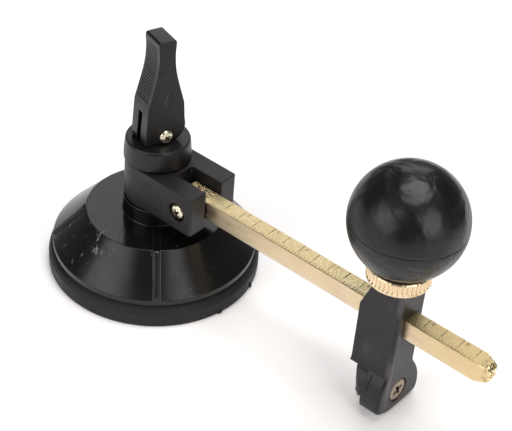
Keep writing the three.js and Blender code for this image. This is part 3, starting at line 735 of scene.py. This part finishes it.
cone = lathe("base_shell", [
    (26.6, 6.6, 0.3), (29.1, 6.6, 0.35), (*CONE_FOOT, 0.45), (*CONE_TOP, 0.35), (9.2, 18.4, 0.35),
    (9.2, 23.4, 0.3), (6.0, 23.4), (6.0, 36.6, 0.2), (4.6, 36.6), (4.6, 40.3, 0.2), (3.3, 40.3, 0.2),
    (3.3, 15.6, 0.3), (18.4, 15.6, 0.8), (26.6, 7.2, 0.3),
], 224)
rib_shape = [on_slope(-0.1, -1.4), on_slope(0.05, 0.1), on_slope(0.7, 0.62),
             on_slope(slope.length - 0.5, 0.64), on_slope(slope.length + 0.2, 0.15),
             on_slope(slope.length + 0.1, -1.4)]
for degrees in (45, 135, 225, 315):
    rib = slab("rib", rib_shape, -0.9, 0.9, "-Y")
    ease(rib, 0.34, 3, 25)
    rib.data.transform(turned_matrix(math.radians(degrees)))
    carve(cone, rib, mode="UNION")
ease(cone, 0.22, 3, 55)
dress(cone, "base", ["base_cone"], GLOSS, 40)

washer = lathe("swivel_washer_ring", [
    (6.15, 23.5, 0.08), (8.7, 23.5, 0.1), (8.7, 24.2, 0.1), (6.15, 24.2, 0.08),
], 96)
dress(washer, "base", ["swivel_washer"], WASHER_PAINTED_SHADE)

# ------------------------ collar
collar = lathe("collar", [
    (4.8, 36.75, 0.1), (9.35, 36.75, 0.25), (9.3, 39.0), (9.0, 42.2, 0.3), (8.75, 42.9, 0.35), (0, 42.9),
    (0, 40.5), (4.8, 40.5),
], 160)
slot_tool = boxes("slot", [((-1.0, 1.0), (-3.1, 3.1), (40, 44))])
slot_tool.data.transform(turned_matrix(LEVER_TURN))
carve(collar, slot_tool)
dress(collar, "base", ["collar_cap"], LEVER_BLACK)

# ------------------------ yoke
yoke_back = [math.pi / 2 + math.pi * k / 40 for k in range(41)]
yoke_outline = rounded([(YOKE_R * math.cos(t), YOKE_R * math.sin(t)) for t in yoke_back] + [
    (YOKE_END, -YOKE_R, 0.7), (YOKE_END, -3.06, 0.3), (10.2, -3.06, 0.5),
    (10.2, 3.06, 0.5), (YOKE_END, 3.06, 0.3), (YOKE_END, YOKE_R, 0.7)])
yoke = slab("yoke", yoke_outline, YOKE_LOW, YOKE_HIGH)
drill(yoke, POST_BORE, 20, 40, 64)
drill(yoke, PIVOT_BORE, -12, 12, 32, "-Y", AT_PIVOT)
drill(yoke, 2.75, 7.3, 12, 48, "-Y", AT_PIVOT)
carve(yoke, slab("nut_recess", polygon(3.15, 6), 7.2, 12, "Y", AT_PIVOT))
ease(yoke, 0.28, 3)
dress(yoke, "yoke", ["swivel_yoke"], SATIN)

screw = lathe("arm_screw", [
    (0, -8.3), (1.5, -8.3, 0.3), (1.5, 7.42), (2.3, 7.42, 0.12), (2.3, 8.0, 0.3), (1.9, 8.7, 0.5),
    (1.0, 8.98), (0, 9.0),
], 64, "-Y", AT_PIVOT)
cross_cut(screw, 1.75, 0.9, 9.0, "-Y", AT_PIVOT, 0.5)
dress(screw, "yoke", ["arm_pivot_screw"], SCREW)

nut = slab("arm_nut", polygon(2.85, 6), 7.45, 8.9, "Y", AT_PIVOT)
drill(nut, 1.65, 5, 12, 32, "Y", AT_PIVOT)
ease(nut, 0.14, 2)
dress(nut, "yoke", ["arm_pivot_nut"], SCREW)

# ------------------------ stem and cam lever
stem = lathe("stem", [
    (0, 3.5), (6.0, 3.5, 0.3), (6.0, 6.3, 0.3), (3.0, 6.3, 0.3), (3.0, 15.0, 0.5), (0, 15.0),
], 64)
tongue_shape = [(-2.8, 13.0), (2.8, 13.0)] + [
    (2.8 * math.cos(math.pi * k / 24), LEVER_PIVOT_Z + 2.8 * math.sin(math.pi * k / 24)) for k in range(25)]
tongue = slab("tongue", tongue_shape, -0.7, 0.7, "X")
drill(tongue, 1.25, -3, 3, 32, "X", AT_LEVER)
carve(stem, tongue, mode="UNION")
ease(stem, 0.10, 2)
stem.data.transform(turned_matrix(LEVER_TURN))
dress(stem, "stem", ["pull_stem"], SCREW)

# Half the lever's width at each height
WIDTHS = [(43.2, 6.0), (46, 6.0), (50, 5.72), (53.5, 5.52), (55.0, 5.4), (56.2, 5.0), (57.6, 4.62),
          (59.5, 4.08), (61.2, 3.62), (63, 3.18), (65, 2.76), (67, 2.5), (69, 2.4), (71, 2.42),
          (72.6, 2.56), (LEVER_TOP, 2.62)]


def lever_half(z):
    for (z0, w0), (z1, w1) in zip(WIDTHS, WIDTHS[1:]):
        if z <= z1:
            return w0 + (w1 - w0) * (z - z0) / (z1 - z0)
    return WIDTHS[-1][1]


def cam_heel(steps=24):
    """The heel that rolls on the collar: its reach grows evenly with the lever's turn."""
    points = []
    for k in range(steps + 1):
        t = math.pi / 2 * k / steps
        reach = CAM_REACH + CAM_RISE * t
        points.append((reach * math.sin(t) + CAM_RISE * math.cos(t),
                       LEVER_PIVOT_Z - reach * math.cos(t) + CAM_RISE * math.sin(t)))
    return points


# One side of the lever above the heel: half width and height, rounded over at the top
flank = [(lever_half(h), h) for h in (50.0, 52.5, 54.6, 56.2, 57.6, 59.5, 61.2, 63, 65, 67, 69, 71, 72.6)]
flank += [(2.6 - LEVER_ROUND * (1 - math.cos(t)), LEVER_TOP - LEVER_ROUND + LEVER_ROUND * math.sin(t))
          for t in (0, 0.39, 0.79, 1.18, 1.57)]
outline = [(-5.95, 43.15)] + cam_heel() + flank
outline += [(-w, h) for w, h in reversed(flank)] + [(-6.0, 46.0), (-6.0, 43.25)]
lever = slab("cam_lever_body", outline, -4.0, 4.0, "X")
# The lever thins towards its top
for vert in lever.data.vertices:
    high = min(max((vert.co.z / MM - 55) / 18.8, 0), 1)
    vert.co.x *= 1 - 0.0625 * high
ease(lever, LEVER_ROUND, 5, 60)
GROOVE_LOW, GROOVE_HIGH, GROOVE_PITCH, GROOVE_WIDE, GROOVE_DEEP = 56.2, 72.2, 0.82, 0.36, 0.13
grooves = []
height = GROOVE_LOW
while height < GROOVE_HIGH:
    deep = lever_half(height + 0.2) - GROOVE_DEEP
    for side in (1, -1):
        across = tuple(sorted((side * deep, side * (deep + 1))))
        grooves.append(((-3.1, 2.7), across, (height, height + GROOVE_WIDE)))
    height += GROOVE_PITCH
carve(lever, boxes("grip_grooves", grooves))
carve(lever, boxes("tongue_slot", [((-1.0, 1.0), (-9, 9), (40, 52.5))]))
drill(lever, 1.2, -8, 8, 32, "X", AT_LEVER)
# A shallow oval hollow for the thumb on each broad face
LEVER_THICK, HOLLOW_R, HOLLOW_DEEP = 4.0, 8, 0.45
for side in (1, -1):
    bm = bmesh.new()
    bmesh.ops.create_uvsphere(bm, u_segments=64, v_segments=40, radius=HOLLOW_R)
    bmesh.ops.scale(bm, vec=(1, 0.62, 1.22), verts=bm.verts)
    reach = side * (LEVER_THICK + HOLLOW_R - HOLLOW_DEEP)
    carve(lever, new_object("thumb_mark", bm, None, (reach, 0.9, 56.0)))
lever.data.transform(turned_matrix(LEVER_TURN))
dress(lever, "lever", ["cam_lever"], LEVER_BLACK, 38)

pivot = lathe("lever_screw", [
    (0, -4.9), (1.05, -4.9, 0.2), (1.05, 4.02), (1.95, 4.02, 0.1), (1.95, 4.45, 0.25), (1.55, 4.98, 0.4),
    (0.8, 5.18), (0, 5.2),
], 56, "X")
cross_cut(pivot, 1.5, 0.7, 5.2, "X", (0, 0, 0), 0.75)
pivot.data.transform(turned_matrix(LEVER_TURN, AT_LEVER))
dress(pivot, "lever", ["lever_pivot_screw"], SCREW)

back_nut = lathe("lever_nut", [
    (1.1, -5.1, 0.1), (1.95, -5.1, 0.2), (1.95, -4.02, 0.1), (1.1, -4.02, 0.1),
], 48, "X")
back_nut.data.transform(turned_matrix(LEVER_TURN, AT_LEVER))
dress(back_nut, "lever", ["lever_pivot_nut"], SCREW)

# ------------------------ graduated bar
mid = (BAR_TOP + BAR_LOW) / 2
square = [(-1, -1), (1, -1), (1, 1), (-1, 1)]
corners = rounded([(a * BAR_HALF, b * BAR_TALL, 0.18) for a, b in square], 5)
# Along the tip: a place, and how much of the half width and half height is left there
tips = [(107.8, 1.0, 1.0), (110.4, 0.765, 0.73), (110.9, 0.70, 0.655),
        (111.2, 0.62, 0.575), (111.36, 0.50, 0.46), (111.4, 0.36, 0.33)]
rings = [[(12.0, a * 0.94, mid + b * 0.94) for a, b in corners], [(12.2, a, mid + b) for a, b in corners]]
rings += [[(x, a * wide, mid + b * tall) for a, b in corners] for x, wide, tall in tips]
bar = loft("graduated_bar", rings)
# The score line along the scale, then the short marks, with a long one every fifth
ticks = [((21.5, 107.2), (-2.42, -2.26), (BAR_TOP - 0.10, BAR_TOP + 1))]
for k in range(MARKS):
    x = FIRST_MARK + k
    deep = (BAR_TOP - 0.13, BAR_TOP + 1)
    ticks.append(((x - 0.10, x + 0.10), (-2.18, -1.35), deep))
    if round(x - 1.2) % 5 == 0:
        ticks.append(((x - 0.11, x + 0.11), (-0.85, 2.30), deep))
carve(bar, boxes("ticks", ticks))
# Chips out of the sawn tip and the milled end inside the yoke: a place, a turn and a size
CHIPS = [((111.3, -0.9, 30.9), 0.5, 0.9), ((111.5, 1.0, 30.4), 1.1, 0.8), ((111.4, -0.2, 29.1), 2.0, 0.85),
         ((16.4, 0.4, 33.1), 0.3, 0.9), ((18.9, -1.2, 33.1), 0.9, 0.75), ((19.4, 1.3, 33.05), 1.7, 0.7)]
for place, turn, size in CHIPS:
    flake = [(0, -size), (size * 0.9, -size * 0.35), (size * 0.75, size * 0.5), (0, size)]
    chip = lathe("chip", flake, 7, "Z")
    chip.data.transform(Matrix.Rotation(turn, 4, "Y") @ Matrix.Rotation(turn * 2, 4, "X"))
    chip.data.transform(Matrix.Translation(Vector(place) * MM))
    carve(bar, chip, marked=True)
drill(bar, PIVOT_BORE, -12, 12, 32, "-Y", AT_PIVOT)
dress(bar, "arm", ["scale_bar"], BAR, 38, FRESH_BRASS)

# The centimetre numbers, each beside its long mark
for k in range(1, 9):
    text = bpy.data.curves.new(f"number_{k}", "FONT")
    text.body = str(k + 1)
    text.size = 1.55 * MM
    text.extrude = 0.035 * MM
    text.align_x, text.align_y = "CENTER", "CENTER"
    label = bpy.data.objects.new(f"number_{k}", text)
    label.location = Vector((FIRST_LONG + 10 * k + 1.3, 1.45, BAR_TOP - 0.022)) * MM
    scene.collection.objects.link(label)
    bpy.context.view_layer.update()
    mesh = bpy.data.meshes.new_from_object(label.evaluated_get(bpy.context.evaluated_depsgraph_get()))
    mesh.transform(label.matrix_world)
    bpy.data.objects.remove(label)
    number = bpy.data.objects.new(f"scale_number_{k}", mesh)
    scene.collection.objects.link(number)
    tidy(number, 0.001)
    mesh.materials.clear()
    mesh.materials.append(INK)
    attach(number, "arm")

# ------------------------ sliding head
head_shape = flowing([
    (5.5, 44.0), (5.5, 44.0), (5.5, 18.0), (5.5, 18.0), (5.5, 16.0), (5.62, 14.5), (6.5, 13.0),
    (7.6, 11.4), (8.6, 9.6), (9.4, 7.7), (9.9, 5.6), (10.02, 3.6), (9.75, 2.0), (8.9, 1.0), (7.2, 0.72),
    (4.6, 0.65), (1.0, 0.65), (-2.4, 0.85), (-4.8, 1.45), (-6.5, 2.2), (-7.6, 3.2), (-8.05, 4.6),
    (-8.2, 6.4), (-8.2, 8.2), (-7.9, 10.2), (-7.3, 12.0),
    (-6.4, 13.5), (-5.7, 14.8), (-5.5, 16.2), (-5.5, 18.0), (-5.5, 18.0), (-5.5, 44.0), (-5.5, 44.0)])
head = pillow("head_block", head_shape, HEAD_BACK, HEAD_FACE, 1.0, "X")
carve(head, boxes("below", [((70, CHEEK_BACK), (-13, 13), (-3, 14.2))]))
carve(head, boxes("above", [((70, 90), (-13, 13), (41.9, 48))]))
shoulder = [(73.0, 28.03), (75.0, 33.3), (78.0, 41.2), (78.6, 41.9), (79.6, 43.07), (73.0, 43.07)]
carve(head, slab("shoulder", shoulder, -7, 7, "-Y"))
# Half a tube over the turret, its outer corners cut back along a curve to meet the cheek
hood = lathe("hood", [(7.1, 77.0), (8.3, 77.0), (8.3, 81.4), (7.1, 81.4)], 136, "X", AT_TURRET)
guard = [(76.5, -5.0), (77.0, -5.4), (77.9, -6.55), (78.85, -7.3), (79.65, -7.7), (80.4, -8.0), (80.4, -9.5),
         (82.0, -9.5), (82.0, 9.5), (80.4, 9.5), (80.4, 8.4), (79.65, 8.1), (78.85, 7.7), (77.9, 6.95),
         (77.0, 5.8), (76.5, 5.4)]
carve(hood, slab("guard", guard, TURRET_Z - 0.4, 20), mode="INTERSECT")
carve(head, hood, mode="UNION")
drill(head, ROOM_R, 70, CHEEK_BACK, 144, "X", AT_TURRET)
# The fine line where the guard meets the cheek
crease = [(-5.9, 13.9), (-7.05, 11.9), (-7.65, 10.1), (-7.8, 9.3), (-10, 9.3), (-10, 13.9)]
carve(head, slab("crease", crease, 82.4, 82.62, "X"))
carve(head, boxes("bar_channel", [((70, 90), (-2.85, 2.85), (26.85, 33.0))]))
drill(head, 2.9, 32, 45, 48, "Z", AT_HEAD)
# The countersink round the turret screw; its faces take the painted recess shade.
countersink = [(0, 80), (1.8, 80), (1.8, 84.9), (3.6, 86.75), (3.7, 86.85), (3.7, 88), (0, 88)]
carve(head, lathe("countersink", countersink, 72, "X", AT_TURRET), marked=True)
ease(head, 0.30, 3, 30)
dress(head, "head", ["slider_body"], SATIN, 34)

fix = lathe("turret_fixing", [
    (0, 76.4), (1.5, 76.4, 0.2), (1.5, 84.95), (3.05, 86.4, 0.1), (3.1, 86.65, 0.1), (2.85, 86.80, 0.15),
    (0, 86.80),
], 72, "X", AT_TURRET)
cross_cut(fix, 2.7, 1.5, 86.80, "X", AT_TURRET, 0.42)
dress(fix, "head", ["turret_screw"], DULL_SCREW)

turret_nut = slab("turret_hex", polygon(3.0, 6), 76.2, 77.6, "X", AT_TURRET)
drill(turret_nut, 1.62, 70, 80, 40, "X", AT_TURRET)
ease(turret_nut, 0.15, 2)
dress(turret_nut, "head", ["turret_nut"], SCREW)

# ------------------------ clamp and ball
shoe = lathe("clamp_foot", [(0, 32.85), (2.5, 32.85, 0.25), (2.5, 34.3, 0.2), (0, 34.3)], 56, "Z", AT_HEAD)
dress(shoe, "shoe", ["clamp_shoe"], NUT)


def knurl(angle, radius, height):
    """Round flutes that start above a plain band at the bottom and run out below the top."""
    if radius < 7.4 or not KNURL_LOW < height < KNURL_HIGH:
        return 0.0
    tooth = 0.5 + 0.5 * math.cos(KNURL_TEETH * angle)
    fade = min(1.0, (height - KNURL_LOW) / 0.25, (KNURL_HIGH - height) / 0.4)
    return -KNURL_DEEP * fade * (1 - tooth) ** 1.3


# Shallow rings stand for the stud's thread
thread = [(2.6 if k % 2 else 2.35, 34.9 + 0.25 * k) for k in range(29)]
clamp = lathe("knurled_nut", [(0, 34.5), (2.3, 34.5, 0.1)] + thread + [
    (2.5, 42.2), (7.75, 42.2, 0.15), (8.15, 42.38, 0.1), (8.2, 42.6), (8.2, 42.9), (8.2, 43.2),
    (8.2, 43.9), (8.2, 44.7), (8.2, 45.5), (8.12, 45.85), (7.9, 46.12), (7.6, 46.28, 0.1),
    (6.95, 46.3, 0.15), (6.5, 45.4, 0.2), (3.4, 44.7, 0.3),
    (2.4, 44.7), (2.4, 57.6), (0, 57.6)], KNURL_TEETH * 10, "Z", AT_HEAD, knurl)
dress(clamp, "clamp", ["clamp_nut"], NUT, 40)

retainer = lathe("knob_washer", [
    (2.45, 54.3, 0.2), (4.9, 54.3, 0.3), (4.9, 56.9, 0.3), (2.45, 56.9, 0.2),
], 48, "Z", AT_HEAD)
dress(retainer, "clamp", ["knob_retainer"], SCREW)


def ball_arc(low, high, steps):
    """The ball's outline between two heights."""
    a0, a1 = math.asin((low - BALL_Z) / BALL_R), math.asin(min((high - BALL_Z) / BALL_R, 1))
    turn = [a0 + (a1 - a0) * k / steps for k in range(steps + 1)]
    return [(max(BALL_R * math.cos(t), 0), BALL_Z + BALL_R * math.sin(t)) for t in turn]


# The halves are eased at the seam, which leaves a thin dark line
lower = [(2.7, 45.4, 0.3)] + ball_arc(45.4, BALL_Z - 0.16, 40) + [
    (BALL_R - 0.06, BALL_Z - 0.05), (BALL_R - 0.22, BALL_Z - 0.02), (5.5, BALL_Z - 0.02),
    (5.5, 54.1), (2.7, 54.1)]
upper_arc = ball_arc(BALL_Z + 0.16, BALL_Z + BALL_R, 48)
upper_arc[-1] = (0, BALL_Z + BALL_R)
upper = [(0, 61.5), (4.9, 61.5, 0.3), (5.5, 60.9), (5.5, BALL_Z + 0.02), (BALL_R - 0.22, BALL_Z + 0.02),
         (BALL_R - 0.06, BALL_Z + 0.05)] + upper_arc
dress(lathe("knob_bottom", lower, 160, "Z", AT_HEAD), "knob", ["knob_lower"], KNOB)
dress(lathe("knob_top", upper, 160, "Z", AT_HEAD), "knob", ["knob_upper"], KNOB)

# ------------------------ turret and wheels
centres = []
for k in range(6):
    a = -math.pi / 2 + k * math.pi / 3
    centres.append((TURRET_Y + WHEEL_ORBIT * math.cos(a), TURRET_Z + WHEEL_ORBIT * math.sin(a)))
turret = lathe("turret_body", [
    (1.8, 77.9), (5.3, 77.9), (5.6, 79.0), (TURRET_R, 79.4), (TURRET_R, 80.7, 0.25), (1.8, 80.7, 0.1),
], 144, "X", AT_TURRET)
# Neighbouring pockets overlap, so their floors are a hair apart to keep the cuts clean
for k, (y, h) in enumerate(centres):
    depth = 79.3 + 0.02 * (k % 2)
    drill(turret, POCKET_R, 70, depth, 48, "X", (0, y, h))
for y, h in centres:
    drill(turret, 0.7, 79, 80.3, 24, "X", (0, y, h))
ease(turret, 0.10, 2, 35)
dress(turret, "turret", ["wheel_turret"], TURRET_BLACK)
for k, (y, h) in enumerate(centres):
    wheel = lathe(f"wheel_{k + 1}", [
        (0.68, -0.4, 0.06), (1.3, -0.4, 0.05), (1.36, -0.33), (1.7, -0.33, 0.05), (WHEEL_R, 0),
        (1.7, 0.33, 0.05), (1.36, 0.33),
        (1.3, 0.4, 0.05), (0.68, 0.4, 0.06)], 64, "X", (WHEEL_MID, y, h))
    dress(wheel, f"wheel_{k + 1}", [f"cutter_wheel_{k + 1}"], STEEL)
    pin = lathe(f"axle_{k + 1}", [
        (0, 77.6), (1.1, 77.6, 0.12), (1.1, 77.95, 0.05), (0.62, 77.95), (0.62, 80.1, 0.1), (0, 80.1),
    ], 32, "X", (0, y, h))
    dress(pin, "turret", [f"wheel_axle_{k + 1}"], SCREW)

# ------------------------ floor, light and camera
bm = bmesh.new()
FLOOR_R, FLOOR_X, FLOOR_Z, FLOOR_SIDES = 900, 40, -0.02, 96
turns = [2 * math.pi * k / FLOOR_SIDES for k in range(FLOOR_SIDES)]
bm.faces.new([bm.verts.new((FLOOR_R * math.cos(t) + FLOOR_X, FLOOR_R * math.sin(t), FLOOR_Z)) for t in turns])
floor = new_object("floor", bm)
floor.data.materials.append(pale_floor())


def softbox(name, place, target, size, glow, tint=(1, 1, 1)):
    """A soft panel whose face glows evenly, seen only in what it lights."""
    lamp = bpy.data.lights.new(name, "AREA")
    lamp.shape = "RECTANGLE"
    lamp.size, lamp.size_y = size
    lamp.energy = glow * math.pi * size[0] * size[1]
    lamp.color = tint
    obj = bpy.data.objects.new(name, lamp)
    obj.location = place
    obj.rotation_mode = "QUATERNION"
    obj.rotation_quaternion = (Vector(target) - Vector(place)).to_track_quat("-Z", "Y")
    obj.visible_camera = False
    scene.collection.objects.link(obj)


# Each has a place, a target and a size in metres, a glow and a tint
softbox("top_box", (0.08, 0.09, 0.77), (0.08, 0, 0.04), (0.52, 0.50), 5.0, (1, 0.97, 0.965))
softbox("left_box", (-0.13, -0.64, 0.34), (0.08, 0, 0.06), (0.54, 0.52), 2.9, (1, 0.96, 0.95))
softbox("right_box", (0.72, -0.12, 0.38), (0.08, 0, 0.06), (0.42, 0.60), 3.2, (1, 0.95, 0.91))
softbox("back_box", (-0.42, 0.72, 0.62), (0.05, 0, 0.03), (0.70, 0.50), 1.5)

world = bpy.data.worlds.new("studio")
world.use_nodes = True
world.node_tree.nodes["Background"].inputs["Color"].default_value = (0.92, 0.94, 0.97, 1)
world.node_tree.nodes["Background"].inputs["Strength"].default_value = 0.15
scene.world = world

camera = bpy.data.cameras.new("camera")
camera.sensor_width = 36
camera.lens = 94.68
camera.clip_start, camera.clip_end = 0.01, 10
eye = bpy.data.objects.new("camera", camera)
azimuth, elevation, roll = (math.radians(v) for v in (37.608, 37.856, 5.19))
level = math.cos(elevation)
back = Vector((math.sin(azimuth) * level, -math.cos(azimuth) * level, math.sin(elevation)))
right = Vector((math.cos(azimuth), math.sin(azimuth), 0))
up = back.cross(right)
right, up = right * math.cos(roll) + up * math.sin(roll), up * math.cos(roll) - right * math.sin(roll)
EYE = (0.20650, -0.22136, 0.25267)
eye.matrix_world = Matrix((
    (right.x, up.x, back.x, EYE[0]), (right.y, up.y, back.y, EYE[1]), (right.z, up.z, back.z, EYE[2]),
    (0, 0, 0, 1)))
scene.collection.objects.link(eye)
scene.camera = eye
scene.view_settings.view_transform = "Standard"
scene.view_settings.look = "None"

bpy.context.view_layer.update()
